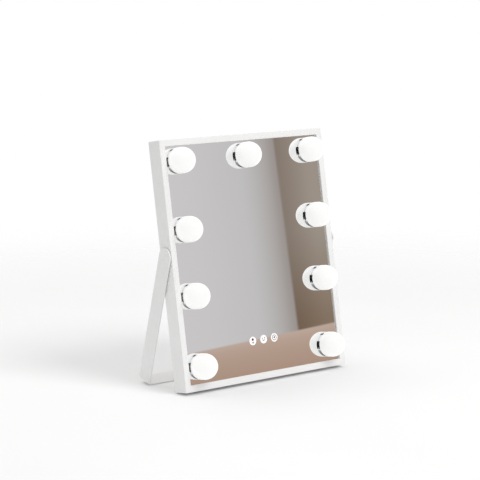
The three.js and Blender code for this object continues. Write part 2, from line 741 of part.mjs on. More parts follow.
// The strap seen from the front: a U of sheet with rounded bends.
function strapSection() {
  const shape = new THREE.Shape();
  const bottom = -STRAP_LENGTH;
  const top = STRAP_W / 2;
  const inner = BEND_R - STRAP_T;
  const half = Math.PI / 2;
  shape.moveTo(-STRAP_OUTER_X, top);
  shape.lineTo(-STRAP_OUTER_X, bottom + BEND_R);
  shape.absarc(-STRAP_OUTER_X + BEND_R, bottom + BEND_R, BEND_R, Math.PI, 3 * half, false);
  shape.lineTo(STRAP_OUTER_X - BEND_R, bottom);
  shape.absarc(STRAP_OUTER_X - BEND_R, bottom + BEND_R, BEND_R, -half, 0, false);
  shape.lineTo(STRAP_OUTER_X, top);
  shape.lineTo(STRAP_INNER_X, top);
  shape.lineTo(STRAP_INNER_X, bottom + BEND_R);
  shape.absarc(STRAP_OUTER_X - BEND_R, bottom + BEND_R, inner, 0, -half, true);
  shape.lineTo(-STRAP_OUTER_X + BEND_R, bottom + STRAP_T);
  shape.absarc(-STRAP_OUTER_X + BEND_R, bottom + BEND_R, inner, 3 * half, Math.PI, true);
  shape.lineTo(-STRAP_INNER_X, top);
  shape.closePath();
  return shape;
}

// The strap seen from the side: straight, with a round end about the pivot.
function strapSide() {
  const shape = new THREE.Shape();
  shape.moveTo(-STRAP_W / 2, -STRAP_LENGTH - 1);
  shape.lineTo(STRAP_W / 2, -STRAP_LENGTH - 1);
  shape.lineTo(STRAP_W / 2, 0);
  shape.absarc(0, 0, STRAP_W / 2, 0, Math.PI, false);
  shape.closePath();
  return shape;
}

function strap() {
  const bent = solid(plateAcrossY(strapSection(), -STRAP_W / 2, STRAP_W / 2));
  const outline = solid(plateAcrossX(strapSide(), -CASE_W, CASE_W, 12));
  return cut(bent.intersect(outline), disc(STUD_R + GAP, -CASE_W, CASE_W));
}
addPiece(stand, "stand_strap", strap(), MATERIAL.paint);

const STRIP = { halfLength: 88, from: 0.8, to: 4, tail: 6.5 };
const stripSection = wedge(SPLAY, STRIP.from, STRIP.to, STRIP.tail, -1);
const strip = plateAcrossX(stripSection, -STRIP.halfLength, STRIP.halfLength);
strip.translate(0, -STRAP_W / 2, -STRAP_LENGTH);
addPiece(stand, "stand_foot_strip", strip, MATERIAL.silicone);

// ---------------------------------------------------------------- pivots

function bush(side) {
  const [x0, x1] = onSide(side, BUSH_FLANGE_OUT, BUSH_FLANGE_IN);
  const [s0, s1] = onSide(side, BUSH_FLANGE_OUT, DOUBLER_IN);
  return cut(
    joined(disc(BUSH_FLANGE_R, x0, x1), disc(BUSH_SLEEVE_R, s0, s1)),
    disc(BUSH_BORE_R, s0 - 1, s1 + 1, ROUND.fine),
  );
}

function stopCam(side) {
  const [x0, x1] = onSide(side, CAM_OUT, CAM_IN);
  const lever = plateAcrossX(arm(0, CAM.tipR, CAM.armHalf, CAM_REST + OPEN_ANGLE), x0, x1);
  return cut(joined(disc(CAM.hubR, x0, x1), lever), disc(CAM.holeR, x0 - 1, x1 + 1));
}

function stud(side) {
  const [x0, x1] = onSide(side, STRAP_OUTER_X, STUD_END);
  const [h0, h1] = onSide(side, CAM_IN - GAP, STUD_END);
  return joined(disc(STUD_R, x0, x1, ROUND.fine), disc(STUD_HEAD_R, h0, h1));
}

for (const [side, word] of SIDES) {
  const fixedBush = addPiece(mirrorCase, "pivot_bush_" + word, bush(side), MATERIAL.nylon);
  fixedBush.position.set(0, PIVOT_Y, PIVOT_Z);
  addPiece(stand, "stop_cam_" + word, stopCam(side), MATERIAL.steel);
  addPiece(stand, "pivot_stud_" + word, stud(side), MATERIAL.steel);
}

// ---------------------------------------------------------------- stand the object on its origin

root.updateMatrixWorld(true);
const extent = new THREE.Box3().setFromObject(root, true);
standing.position.y = -(extent.min.y + extent.max.y) / 2;
standing.position.z = -extent.min.z;

export default root;
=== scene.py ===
"""The finished look of the lighted vanity mirror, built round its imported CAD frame.

Everything is in metres in the row frame: +Z up, the glass faces -Y. Two local frames are read from the
CAD: CASE has x across, y backwards and z up the case's slope, from the middle of the case's rear bottom
edge; STAND has its origin on the hinge axis and the strap hanging towards -z.
"""

import json
import math

import bmesh
import bpy
from mathutils import Matrix, Vector


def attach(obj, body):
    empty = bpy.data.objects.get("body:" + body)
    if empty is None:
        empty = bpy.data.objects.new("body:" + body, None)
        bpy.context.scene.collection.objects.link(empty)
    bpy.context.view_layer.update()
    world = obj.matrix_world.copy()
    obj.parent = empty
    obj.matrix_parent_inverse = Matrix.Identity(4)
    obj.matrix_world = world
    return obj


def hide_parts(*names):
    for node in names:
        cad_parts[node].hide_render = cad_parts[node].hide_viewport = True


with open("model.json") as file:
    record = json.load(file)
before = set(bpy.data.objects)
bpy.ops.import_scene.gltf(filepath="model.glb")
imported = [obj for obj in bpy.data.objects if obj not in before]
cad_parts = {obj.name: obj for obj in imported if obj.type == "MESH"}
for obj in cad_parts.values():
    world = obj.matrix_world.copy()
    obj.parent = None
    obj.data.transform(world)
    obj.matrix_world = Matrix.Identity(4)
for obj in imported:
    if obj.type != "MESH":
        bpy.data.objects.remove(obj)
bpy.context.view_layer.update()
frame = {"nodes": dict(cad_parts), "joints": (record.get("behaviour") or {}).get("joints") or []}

MM = 0.001
LAMP_COUNT = 9
LAMPS = range(1, LAMP_COUNT + 1)
SCREWS = range(1, 5)
SIDES = {"left": -1, "right": 1}
ALIGNED = 0.9  # least cosine between a face's normal and the direction it is said to face


# ------------------------------------------------------------------ local frames read from the CAD


def facing(node, direction):
    """Mean normal of a node's faces that look roughly along a direction, weighted by area."""
    total = Vector()
    for polygon in frame["nodes"][node].data.polygons:
        if polygon.normal.dot(direction) > ALIGNED:
            total += polygon.normal * polygon.area
    return total.normalized()


def local_box(node, local):
    """Lowest and highest corners of a node in a local frame."""
    to_local = local.inverted()
    places = [to_local @ v.co for v in frame["nodes"][node].data.vertices]
    low = Vector([min(p[i] for p in places) for i in range(3)])
    high = Vector([max(p[i] for p in places) for i in range(3)])
    return low, high


def case_frame():
    front = facing("mirror_glass", Vector((0, -1, 0)))
    turn = Matrix.Rotation(-math.atan2(front.z, -front.y), 4, "X")
    low, high = local_box("case_shell", turn)
    return turn @ Matrix.Translation(((low.x + high.x) / 2, high.y, low.z))


def stand_frame():
    down = facing("stand_strap", Vector((0, 0, -1)))
    turn = Matrix.Rotation(math.atan2(down.y, -down.z), 4, "X")
    return Matrix.Translation(frame["joints"][0]["pos_m"]) @ turn


CASE = case_frame()
STAND = stand_frame()


# ------------------------------------------------------------------ node materials


def fill_ramp(ramp, stops):
    """Gives a new colour ramp its (position, colour) stops, which are in rising order."""
    ramp.elements[0].position = stops[0][0]
    ramp.elements[1].position = stops[-1][0]
    for position, _ in stops[1:-1]:
        ramp.elements.new(position)
    for element, (_, colour) in zip(ramp.elements, stops):
        element.color = (*colour, 1.0)


class Shader:
    """A principled material and short calls for the nodes that feed it."""

    def __init__(self, name, **values):
        self.material = bpy.data.materials.new(name)
        self.material.use_nodes = True
        self.tree = self.material.node_tree
        self.surface = self.tree.nodes["Principled BSDF"]
        for socket, value in values.items():
            self.set(socket.replace("_", " "), value)
        self.place = self.tree.nodes.new("ShaderNodeTexCoord").outputs["Object"]

    def set(self, socket, value):
        if isinstance(value, tuple):
            value = (*value, 1.0)
        self.surface.inputs[socket].default_value = value

    def link(self, output, socket):
        self.tree.links.new(output, self.surface.inputs[socket])

    def noise(self, scale, detail=3.0, stretch=None):
        """Noise in the object's own metres; stretch scales each axis first."""
        node = self.tree.nodes.new("ShaderNodeTexNoise")
        node.inputs["Scale"].default_value = scale
        node.inputs["Detail"].default_value = detail
        place = self.place
        if stretch:
            mapping = self.tree.nodes.new("ShaderNodeMapping")
            mapping.inputs["Scale"].default_value = stretch
            self.tree.links.new(place, mapping.inputs["Vector"])
            place = mapping.outputs["Vector"]
        self.tree.links.new(place, node.inputs["Vector"])
        return node.outputs["Fac"]

    def ramp(self, factor, *stops):
        """Colour ramp through (position, colour) stops."""
        node = self.tree.nodes.new("ShaderNodeValToRGB")
        fill_ramp(node.color_ramp, stops)
        self.tree.links.new(factor, node.inputs["Fac"])
        return node.outputs["Color"]

    def between(self, factor, low, high, start=0.3, end=0.7):
        """A number that runs from low to high as the factor runs from start to end."""
        node = self.tree.nodes.new("ShaderNodeMapRange")
        node.inputs["From Min"].default_value = start
        node.inputs["From Max"].default_value = end
        node.inputs["To Min"].default_value = low
        node.inputs["To Max"].default_value = high
        self.tree.links.new(factor, node.inputs["Value"])
        return node.outputs["Result"]

    def bump(self, height, depth, below=None):
        """Bump from a height of 0 to 1, depth metres deep."""
        node = self.tree.nodes.new("ShaderNodeBump")
        node.inputs["Distance"].default_value = depth
        self.tree.links.new(height, node.inputs["Height"])
        if below:
            self.tree.links.new(below, node.inputs["Normal"])
        return node.outputs["Normal"]


def tinted(colour, share):
    return tuple(min(1.0, c * share) for c in colour)


def mottled(shader, colour, scale, spread):
    """Base colour that wanders gently round one tone."""
    light, dark = tinted(colour, 1 + spread), tinted(colour, 1 - spread)
    shader.link(shader.ramp(shader.noise(scale), (0.3, dark), (0.7, light)), "Base Color")


def powder_coat():
    """White powder coat: a fine orange peel over a faint large-scale unevenness."""
    coat = Shader("powder_coat", Roughness=0.4, Specular_IOR_Level=0.4)
    mottled(coat, (0.865, 0.86, 0.855), scale=14, spread=0.012)
    coat.link(coat.between(coat.noise(60), 0.34, 0.46), "Roughness")
    peel = coat.bump(coat.noise(900, detail=2), 0.00004)
    coat.link(coat.bump(coat.noise(5200, detail=1), 0.00001, below=peel), "Normal")
    return coat.material


def silvered_glass():
    """Silvered glass with hardly any haze."""
    glass = Shader("silvered_glass", Metallic=1.0, Roughness=0.01)
    glass.link(
        glass.ramp(glass.noise(6), (0.3, (0.925, 0.93, 0.93)), (0.7, (0.94, 0.945, 0.94))),
        "Base Color",
    )
    glass.link(glass.between(glass.noise(35), 0.004, 0.014), "Roughness")
    return glass.material


def frosted_dome():
    """Lit frosted shell with an even glow."""
    dome = Shader("frosted_dome", Roughness=0.32, Emission_Strength=0.74)
    mottled(dome, (0.24, 0.24, 0.238), scale=40, spread=0.04)
    glow = dome.ramp(dome.noise(25), (0.3, (0.985, 0.98, 0.975)), (0.7, (1.0, 0.995, 0.99)))
    dome.link(glow, "Emission Color")
    dome.link(dome.bump(dome.noise(2600, detail=1), 0.00001), "Normal")
    return dome.material


def chrome():
    plate = Shader("chrome", Metallic=1.0, Roughness=0.03)
    mottled(plate, (0.9, 0.905, 0.91), scale=60, spread=0.015)
    plate.link(plate.between(plate.noise(220), 0.02, 0.05), "Roughness")
    return plate.material


def moulded_plastic(name, colour, roughness):
    """Moulded plastic with a fine spark-eroded grain."""
    plastic = Shader(name)
    mottled(plastic, colour, scale=30, spread=0.01)
    plastic.link(plastic.between(plastic.noise(90), roughness - 0.05, roughness + 0.05), "Roughness")
    plastic.link(plastic.bump(plastic.noise(1500, detail=2), 0.00004), "Normal")
    return plastic.material


def turned_steel(name, colour):
    """Zinc-plated steel with fine tool marks."""
    steel = Shader(name, Metallic=1.0)
    mottled(steel, colour, scale=120, spread=0.06)
    steel.link(steel.between(steel.noise(400), 0.22, 0.4), "Roughness")
    steel.link(steel.bump(steel.noise(1800, stretch=(1, 1, 6)), 0.00001), "Normal")
    return steel.material


def hardboard():
    """Pressed fibre board: short fibres in two tones."""
    board = Shader("hardboard", Roughness=0.75)
    fibres = board.noise(420, detail=5, stretch=(1, 1, 0.3))
    board.link(board.ramp(fibres, (0.35, (0.3, 0.2, 0.12)), (0.65, (0.5, 0.37, 0.24))), "Base Color")
    board.link(board.bump(fibres, 0.00008), "Normal")
    return board.material


def circuit_board(name, mask, roughness):
    """Board under solder mask, with faint tracks showing through."""
    board = Shader(name)
    tracks = board.noise(260, detail=1, stretch=(1, 1, 0.15))
    board.link(board.ramp(tracks, (0.46, mask), (0.54, tinted(mask, 1.25))), "Base Color")
    board.link(board.between(tracks, roughness, roughness + 0.08, 0.4, 0.6), "Roughness")
    board.link(board.bump(tracks, 0.00003), "Normal")
    return board.material


def soft_rubber(name, colour, roughness):
    rubber = Shader(name)
    mottled(rubber, colour, scale=70, spread=0.05)
    rubber.link(rubber.between(rubber.noise(300), roughness - 0.06, roughness + 0.06), "Roughness")
    rubber.link(rubber.bump(rubber.noise(1100, detail=2), 0.00003), "Normal")
    return rubber.material


def printed_ink(name, colour, glow):
    """Screen-printed ink on glass, lit from behind where glow is above 0."""
    ink = Shader(name, Roughness=0.5, Emission_Strength=glow, Emission_Color=colour)
    mottled(ink, colour, scale=500, spread=0.03)
    ink.link(ink.bump(ink.noise(4000, detail=1), 0.00001), "Normal")
    return ink.material


PAINT = powder_coat()
SILVER = silvered_glass()
DOME = frosted_dome()
CHROME = chrome()
COVER = moulded_plastic("cover_plastic", (0.84, 0.835, 0.825), 0.5)
LAMP_PLASTIC = moulded_plastic("lamp_plastic", (0.85, 0.85, 0.83), 0.45)
NYLON = moulded_plastic("nylon", (0.8, 0.79, 0.76), 0.5)
INLET = moulded_plastic("inlet_plastic", (0.02, 0.02, 0.022), 0.4)
STEEL = turned_steel("zinc_steel", (0.6, 0.61, 0.63))
BOARD = hardboard()
LED_BOARD = circuit_board("led_board", (0.72, 0.72, 0.69), 0.35)
CIRCUIT = circuit_board("circuit_board", (0.02, 0.17, 0.09), 0.3)
WIRE = soft_rubber("wire_sleeve", (0.5, 0.03, 0.025), 0.4)
SILICONE = soft_rubber("silicone", (0.62, 0.62, 0.61), 0.5)
MARK = printed_ink("mark_white", (0.95, 0.95, 0.94), 0.12)
MARK_DARK = printed_ink("mark_dark", (0.08, 0.06, 0.055), 0.0)
MARK_RED = printed_ink("mark_red", (0.22, 0.02, 0.02), 0.0)


# ------------------------------------------------------------------ mesh helpers

SHARP_ANGLE = math.radians(35)
SAME_PLACE = 1e-7  # metres between vertices that are joined


def rounded(points, radii, steps=4):
    """A closed outline with each corner rounded by its own radius."""
    made = []
    count = len(points)
    for i, radius in enumerate(radii):
        corner = Vector(points[i])
        before = Vector(points[i - 1]) - corner
        after = Vector(points[(i + 1) % count]) - corner
        half_angle = before.angle(after) / 2
        reach = min(radius / math.tan(half_angle), before.length / 2, after.length / 2)
        start = corner + before.normalized() * reach
        end = corner + after.normalized() * reach
        for k in range(steps + 1):
            t = k / steps
            made.append(start * (1 - t) ** 2 + corner * 2 * t * (1 - t) + end * t ** 2)
    return made


def arc(centre, radius, start, end, steps):
    """Points on a circle from one angle to another, in degrees."""
    x, y = centre
    points = []
    for k in range(steps + 1):
        angle = math.radians(start + (end - start) * k / steps)
        points.append(Vector((x + radius * math.cos(angle), y + radius * math.sin(angle))))
    return points


def skin(bm, loops, close_ends=False):
    """Joins closed loops of vertices in turn, and the last one to the first or to end faces."""
    count = len(loops[0])
    pairs = list(zip(loops, loops[1:]))
    if not close_ends:
        pairs.append((loops[-1], loops[0]))
    for first, second in pairs:
        for i in range(count):
            j = (i + 1) % count
            bm.faces.new((first[i], first[j], second[j], second[i]))
    if close_ends:
        bm.faces.new(list(reversed(loops[0])))
        bm.faces.new(loops[-1])


def lathe(profile, segments):
    """A closed profile of (radius, height) turned about an axis; height runs towards -y."""
    bm = bmesh.new()
    loops = []
    for k in range(segments):
        angle = 2 * math.pi * k / segments
        across, up = math.cos(angle), math.sin(angle)
        loops.append([bm.verts.new((r * across, -h, r * up)) for r, h in profile])
    skin(bm, loops)
    bmesh.ops.remove_doubles(bm, verts=bm.verts, dist=SAME_PLACE)
    return bm


def finish_mesh(bm, name, local):
    """The mesh of a piece, with its faces pointing out."""
    bmesh.ops.recalc_face_normals(bm, faces=bm.faces)
    bmesh.ops.transform(bm, matrix=local, verts=bm.verts)
    mesh = bpy.data.meshes.new(name)
    bm.to_mesh(mesh)
    bm.free()
    shade(mesh)
    return mesh


def shade(mesh):
    """Smooth shading, with the edges above SHARP_ANGLE kept sharp."""
    mesh.polygons.foreach_set("use_smooth", [True] * len(mesh.polygons))
    mesh.set_sharp_from_angle(angle=SHARP_ANGLE)


def piece(bm, name, material, local, body="case", replaces=(), modifiers=None):
    """Puts a finished mesh in the scene as a piece that rides on a body."""
    obj = bpy.data.objects.new(name, finish_mesh(bm, name, local))
    bpy.context.scene.collection.objects.link(obj)
    if modifiers:
        modifiers(obj)
        bpy.context.view_layer.update()
        evaluated = obj.evaluated_get(bpy.context.evaluated_depsgraph_get())
        final = bpy.data.meshes.new_from_object(evaluated)
        obj.modifiers.clear()
        obj.data = final
    obj.data.materials.clear()
    obj.data.materials.append(material)
    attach(obj, body)
    if replaces:
        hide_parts(*replaces)
    return obj


def rounded_rectangle(bm, low, high, radius, y, steps=5):
    """A loop of vertices round a rectangle in x and z, with rounded corners."""
    corners = [
        (high.x - radius, low.z + radius, -90),
        (high.x - radius, high.z - radius, 0),
        (low.x + radius, high.z - radius, 90),
        (low.x + radius, low.z + radius, 180),
    ]
    points = [p for x, z, start in corners for p in arc((x, z), radius, start, start + 90, steps)]
    return [bm.verts.new((p.x, y, p.y)) for p in points]


def circle(bm, centre, radius, y, segments):
    """A loop of vertices round a centre given in x and z."""
    points = arc(centre, radius, 0, 360, segments)[:-1]
    return [bm.verts.new((p.x, y, p.y)) for p in points]


def disc(bm, centre, radius, y, thickness, segments=48):
    """A flat disc with a softened rim, proud of a face that looks towards -y."""
    soft = 0.4 * thickness
    rings = [(radius, 0), (radius, thickness - soft), (radius - soft, thickness)]
    skin(bm, [circle(bm, centre, r, y - h, segments) for r, h in rings], close_ends=True)


def turned(local, x, y, z):
    """The local frame moved to a place of its own, for a piece made about its own axis."""
    return local @ Matrix.Translation((x, y, z))


# ------------------------------------------------------------------ case

CASE_WALL = 1.2 * MM
CASE_LIP = 8 * MM
CASE_CORNER = 1.5 * MM
CASE_BENDS = [r * MM for r in (0.35, 0.6, 0.5, 0.4, 0.2, 0.35)]  # at each corner of the section
SHARPEST = 0.15 * MM  # least corner radius, inside the case
LIP_BOND = 0.03 * MM  # between the lip and the glass


def make_case():
    """One folded frame: side walls, a soft front bend and a hemmed lip round the glass."""
    low, high = local_box("case_shell", CASE)
    glass_front = local_box("mirror_glass", CASE)[0].y
    lip_rear = glass_front - LIP_BOND
    section = rounded(
        [
            (0, high.y),
            (0, low.y),
            (CASE_LIP, low.y),
            (CASE_LIP, lip_rear),
            (CASE_WALL, lip_rear),
            (CASE_WALL, high.y),
        ],
        CASE_BENDS,
    )
    bm = bmesh.new()
    loops = []
    for inset, y in section:
        step = Vector((inset, 0, inset))
        radius = max(CASE_CORNER - inset, SHARPEST)
        loops.append(rounded_rectangle(bm, low + step, high - step, radius, y))
    skin(bm, loops)
    piece(bm, "case_frame", PAINT, CASE, replaces=["case_shell"])


# ------------------------------------------------------------------ lamps

DOME_WALL = 1.2 * MM
DOME_GAP = 0.25 * MM  # between a dome and its collar
DOME_SOFTENING = 0.3 * MM  # of the skirt's lower edge
PLUG_BOTTOM = 2 * MM  # lower end of the rim inside the collar, over the glass
COLLAR_WALL = 1 * MM
COLLAR_GAP = 0.25 * MM  # under the collar
COLLAR_STEP = 0.12 * MM  # depth of the step near the collar's top
COLLAR_STEP_FROM, COLLAR_STEP_TO = 0.82, 0.84  # place of the step, as shares of the height
COLLAR_EDGES = [r * MM for r in (0.1, 0.25, 0.05, 0.05, 0.25, 0.1)]


def lamp_place(i):
    """Local frame of a lamp, on the glass's front face."""
    low, high = local_box(f"lamp_collar_{i}", CASE)
    glass_front = local_box("mirror_glass", CASE)[0].y
    return turned(CASE, (low.x + high.x) / 2, glass_front, (low.z + high.z) / 2)


def dome_profile(radius, top, seat, plug):
    """Outline of a dome: the rim in its collar, a straight skirt, a round cap and the hollow."""
    centre = top - radius
    outside = arc((0, centre), radius, 0, 90, 24)
    inside = arc((0, centre), radius - DOME_WALL, 90, 0, 16)
    outside[-1].x = inside[0].x = 0
    soft = DOME_SOFTENING
    shoulder = [
        Vector((plug, seat)),
        Vector((radius - soft, seat)),
        Vector((radius - 0.3 * soft, seat + 0.3 * soft)),
        Vector((radius, seat + soft)),
    ]
    rim = [Vector((plug - DOME_WALL, PLUG_BOTTOM)), Vector((plug, PLUG_BOTTOM))]
    return rim + shoulder + outside + inside


def collar_profile(radius, height):
    """Section of the chromed ring: a straight band with rolled edges and a shallow step near its top."""
    inner = radius - COLLAR_WALL
    return rounded(
        [
            (inner, COLLAR_GAP),
            (radius, COLLAR_GAP),
            (radius, height * COLLAR_STEP_FROM),
            (radius - COLLAR_STEP, height * COLLAR_STEP_TO),
            (radius - COLLAR_STEP, height),
            (inner, height),
        ],
        COLLAR_EDGES,
    )


def make_lamps():
    for i in LAMPS:
        place = lamp_place(i)
        collar_low, collar_high = local_box(f"lamp_collar_{i}", place)
        dome_low, dome_high = local_box(f"lamp_dome_{i}", place)
        collar_radius = (collar_high.z - collar_low.z) / 2
        collar_height = -collar_low.y
        dome_radius = (dome_high.z - dome_low.z) / 2
        seat = collar_height + DOME_GAP
        plug = collar_radius - COLLAR_WALL - DOME_GAP
        dome = lathe(dome_profile(dome_radius, -dome_low.y, seat, plug), segments=72)
        piece(dome, f"dome_{i}", DOME, place, replaces=[f"lamp_dome_{i}"])
        collar = lathe(collar_profile(collar_radius, collar_height), segments=96)
        piece(collar, f"collar_{i}", CHROME, place, replaces=[f"lamp_collar_{i}"])


# ------------------------------------------------------------------ touch marks

TOUCH_PITCH = 16.8 * MM
MARK_RADIUS = 5.2 * MM
MARK_THICKNESS = 0.06 * MM
MARK_BOND = 0.01 * MM  # between a mark and the glass

# The signs, in millimetres from their mark's middle: a dot as x, z and radius, a v as the height of its
# point, half its width, its depth and its stroke, a ring as its radius and its stroke.
RED_DOT = (0, 1.7, 1.6)
LEFT_V = (-3.4, 2.1, 2.2, 0.8)
TWO_DOTS = [(-1.7, 1.5, 0.75), (1.7, 1.5, 0.75)]
MIDDLE_V = (-2.4, 2.3, 2.2, 0.75)
RIGHT_RING = (3.4, 0.65)
RIGHT_DOT = (0, 0.3, 1.1)


class Sign:
    """The mesh of one sign, printed on a touch mark."""

    def __init__(self, middle, y):
        self.bm = bmesh.new()
        self.middle = Vector(middle)
        self.y = y

    def dot(self, x, z, radius, segments=16):
        centre = self.middle + Vector((x, z)) * MM
        disc(self.bm, centre, radius * MM, self.y, MARK_THICKNESS, segments)

    def chevron(self, z, half_width, depth, stroke):
        """A small v made of two strokes."""
        slant = stroke * 1.4  # a stroke's width measured along its level end
        outline = [
            (-half_width, z + depth),
            (-half_width + slant, z + depth),
            (0, z + slant),
            (half_width - slant, z + depth),
            (half_width, z + depth),
            (0, z),
        ]
        places = [self.middle + Vector(p) * MM for p in outline]
        loops = [
            [self.bm.verts.new((p.x, y, p.y)) for p in places]
            for y in (self.y, self.y - MARK_THICKNESS)
        ]
        skin(self.bm, loops, close_ends=True)

    def ring(self, radius, stroke, segments=40):
        """A thin flat ring."""
        inner = radius - stroke
        corners = [(radius, 0), (radius, MARK_THICKNESS), (inner, MARK_THICKNESS), (inner, 0)]
        skin(self.bm, [circle(self.bm, self.middle, r * MM, self.y - h, segments) for r, h in corners])


def make_touch_marks():
    """Three round marks with plain signs: a dot over a v, two dots over a v, and a ring round a dot."""
    low, high = local_box("touch_board", CASE)
    glass_front = local_box("mirror_glass", CASE)[0].y
    top = glass_front - MARK_THICKNESS
    for i in (-1, 0, 1):
        middle = ((low.x + high.x) / 2 + i * TOUCH_PITCH, (low.z + high.z) / 2)
        mark = bmesh.new()
        disc(mark, middle, MARK_RADIUS, glass_front - MARK_BOND, MARK_THICKNESS)
        piece(mark, f"touch_mark_{i + 2}", MARK, CASE)
        sign = Sign(middle, top)
        if i == -1:
            red = Sign(middle, top)
            red.dot(*RED_DOT, segments=24)
            piece(red.bm, "touch_sign_red", MARK_RED, CASE)
            sign.chevron(*LEFT_V)
        elif i == 0:
            for dot in TWO_DOTS:
                sign.dot(*dot)
            sign.chevron(*MIDDLE_V)
        else:
            sign.ring(*RIGHT_RING)
            sign.dot(*RIGHT_DOT)
        piece(sign.bm, f"touch_sign_{i + 2}", MARK_DARK, CASE)


# ------------------------------------------------------------------ back: screws and inlet

SCREW_HEAD = 1.6 * MM
SCREW_SHANK = 1.5 * MM  # radius
SCREW_LENGTH = 9 * MM
RECESS = {"reach": 1.55 * MM, "half_width": 0.3 * MM, "depth": 0.8 * MM}
CUTTER_RISE = 1 * MM  # how far the cutter stands out of the screw's head


def make_screws():
    """Pan-head screws with a cross recess."""
    for i in SCREWS:
        low, high = local_box(f"cover_screw_{i}", CASE)
        radius = (high.x - low.x) / 2
        place = turned(CASE, (low.x + high.x) / 2, high.y, (low.z + high.z) / 2)
        crown = [Vector((radius * p.x, SCREW_HEAD * (1 - p.y))) for p in arc((0, 0), 1, 12, 90, 8)]
        crown[-1].x = 0
        profile = [
            Vector((0, SCREW_LENGTH)),
            Vector((SCREW_SHANK, SCREW_LENGTH)),
            Vector((SCREW_SHANK, SCREW_HEAD)),
            *crown,
        ]
        cutter = cross_cutter(place, **RECESS)
        piece(
            lathe(profile, segments=40), f"screw_{i}", STEEL, place,
            replaces=[f"cover_screw_{i}"], modifiers=lambda obj: cut_by(obj, cutter),
        )
        bpy.data.objects.remove(cutter)


def cross_cutter(place, reach, half_width, depth):
    """A plus-shaped block to cut a recess at a place, from its origin into the piece."""
    outline = []
    for quarter in range(4):
        turn = Matrix.Rotation(quarter * math.pi / 2, 2)
        for corner in ((reach, -half_width), (reach, half_width), (half_width, half_width)):
            outline.append(turn @ Vector(corner))
    bm = bmesh.new()
    loops = [[bm.verts.new((p.x, y, p.y)) for p in outline] for y in (CUTTER_RISE, -depth)]
    skin(bm, loops, close_ends=True)
    cutter = bpy.data.objects.new("cutter", finish_mesh(bm, "cutter", place))
    bpy.context.scene.collection.objects.link(cutter)
    return cutter


def cut_by(obj, cutter):
    boolean = obj.modifiers.new("cut", "BOOLEAN")
    boolean.operation = "DIFFERENCE"
    boolean.object = cutter
    boolean.solver = "EXACT"


INLET_FLANGE = 5.6 * MM
INLET_NECK = 4 * MM
INLET_MOUTH = 3.1 * MM
INLET_DEPTH = 9.5 * MM  # from the cover's outer face
INLET_FLOOR = 1 * MM
INLET_SEAT = 0.3 * MM  # between the cover and the flange
INLET_EDGES = [r * MM for r in (0.4, 0.5, 0.1, 0.1, 0.1, 0.1)]
PIN_RADIUS = 1 * MM
PIN_SHOULDER = 0.3 * MM  # where the pin's round tip starts, behind the cover's outer face
PIN_SET_IN = 0.1 * MM  # how much less deep the pin reaches than the barrel


def make_inlet():
    """Round inlet: a flanged black barrel with a pin in its mouth."""
    low, high = local_box("power_inlet", CASE)
    cover_rear = local_box("back_cover", CASE)[1].y
    out = high.y - cover_rear
    place = turned(CASE, (low.x + high.x) / 2, cover_rear, (low.z + high.z) / 2)
    barrel = rounded(
        [
            (INLET_MOUTH, -out),
            (INLET_FLANGE, -out),
            (INLET_FLANGE, -INLET_SEAT),
            (INLET_NECK, -INLET_SEAT),
            (INLET_NECK, INLET_DEPTH),
            (INLET_MOUTH, INLET_DEPTH),
        ],
        INLET_EDGES,
    )
    piece(
        lathe(barrel, segments=56), "inlet_barrel", INLET, place,
        replaces=["power_inlet"],
    )
    pin_end = INLET_DEPTH - PIN_SET_IN
    pin = [Vector((0, pin_end)), Vector((PIN_RADIUS, pin_end)), Vector((PIN_RADIUS, PIN_SHOULDER))]
    pin += [Vector((p.x, -p.y)) for p in arc((0, 0), PIN_RADIUS, 20, 90, 5)]
    pin[-1].x = 0
    piece(lathe(pin, segments=24), "inlet_pin", STEEL, place)
    bottom = INLET_DEPTH + INLET_FLOOR
    floor = [(0, INLET_DEPTH), (INLET_NECK, INLET_DEPTH), (INLET_NECK, bottom), (0, bottom)]
    piece(lathe(floor, segments=32), "inlet_floor", INLET, place)


# ------------------------------------------------------------------ stand

STRAP_THICKNESS = 1.5 * MM
STRAP_BEND = 2.5 * MM
STRAP_EDGE = 0.35 * MM
STRAP_TIP = 0.02 * MM  # from the end of the strap to its first row of vertices
STRAP_END_ROWS = 10  # rows of vertices round each end
STRAP_ROWS = 6  # and along each straight
STUD_BUTTON = {"radius": 3.3 * MM, "skirt": 3.4 * MM, "rise": 0.25 * MM, "depth": 0.3 * MM}
STUD_SKIRT_TOP = 0.02 * MM  # height of the button's skirt over the strap


def strap_path(half_span, top, bottom):
    """The strap's outer face seen from the front, as (point, distance from the nearer end)."""
    steps = range(STRAP_END_ROWS + 1)
    rise = [top * (1 - math.cos(math.pi / 2 * k / STRAP_END_ROWS)) for k in steps]
    rise[0] = STRAP_TIP
    left = [Vector((-half_span, top - s)) for s in rise]
    leg = bottom + STRAP_BEND
    left += [Vector((-half_span, leg * k / STRAP_ROWS)) for k in range(1, STRAP_ROWS)]
    bend_x = -half_span + STRAP_BEND
    bend = arc((bend_x, leg), STRAP_BEND, 180, 270, 8)
    foot = [Vector((bend_x * (1 - k / STRAP_ROWS), bottom)) for k in range(1, STRAP_ROWS + 1)]
    half = left + bend + foot
    ends = rise + [top] * (len(half) - len(rise))
    whole = half + [Vector((-p.x, p.y)) for p in reversed(half[:-1])]
    return list(zip(whole, ends + list(reversed(ends[:-1]))))


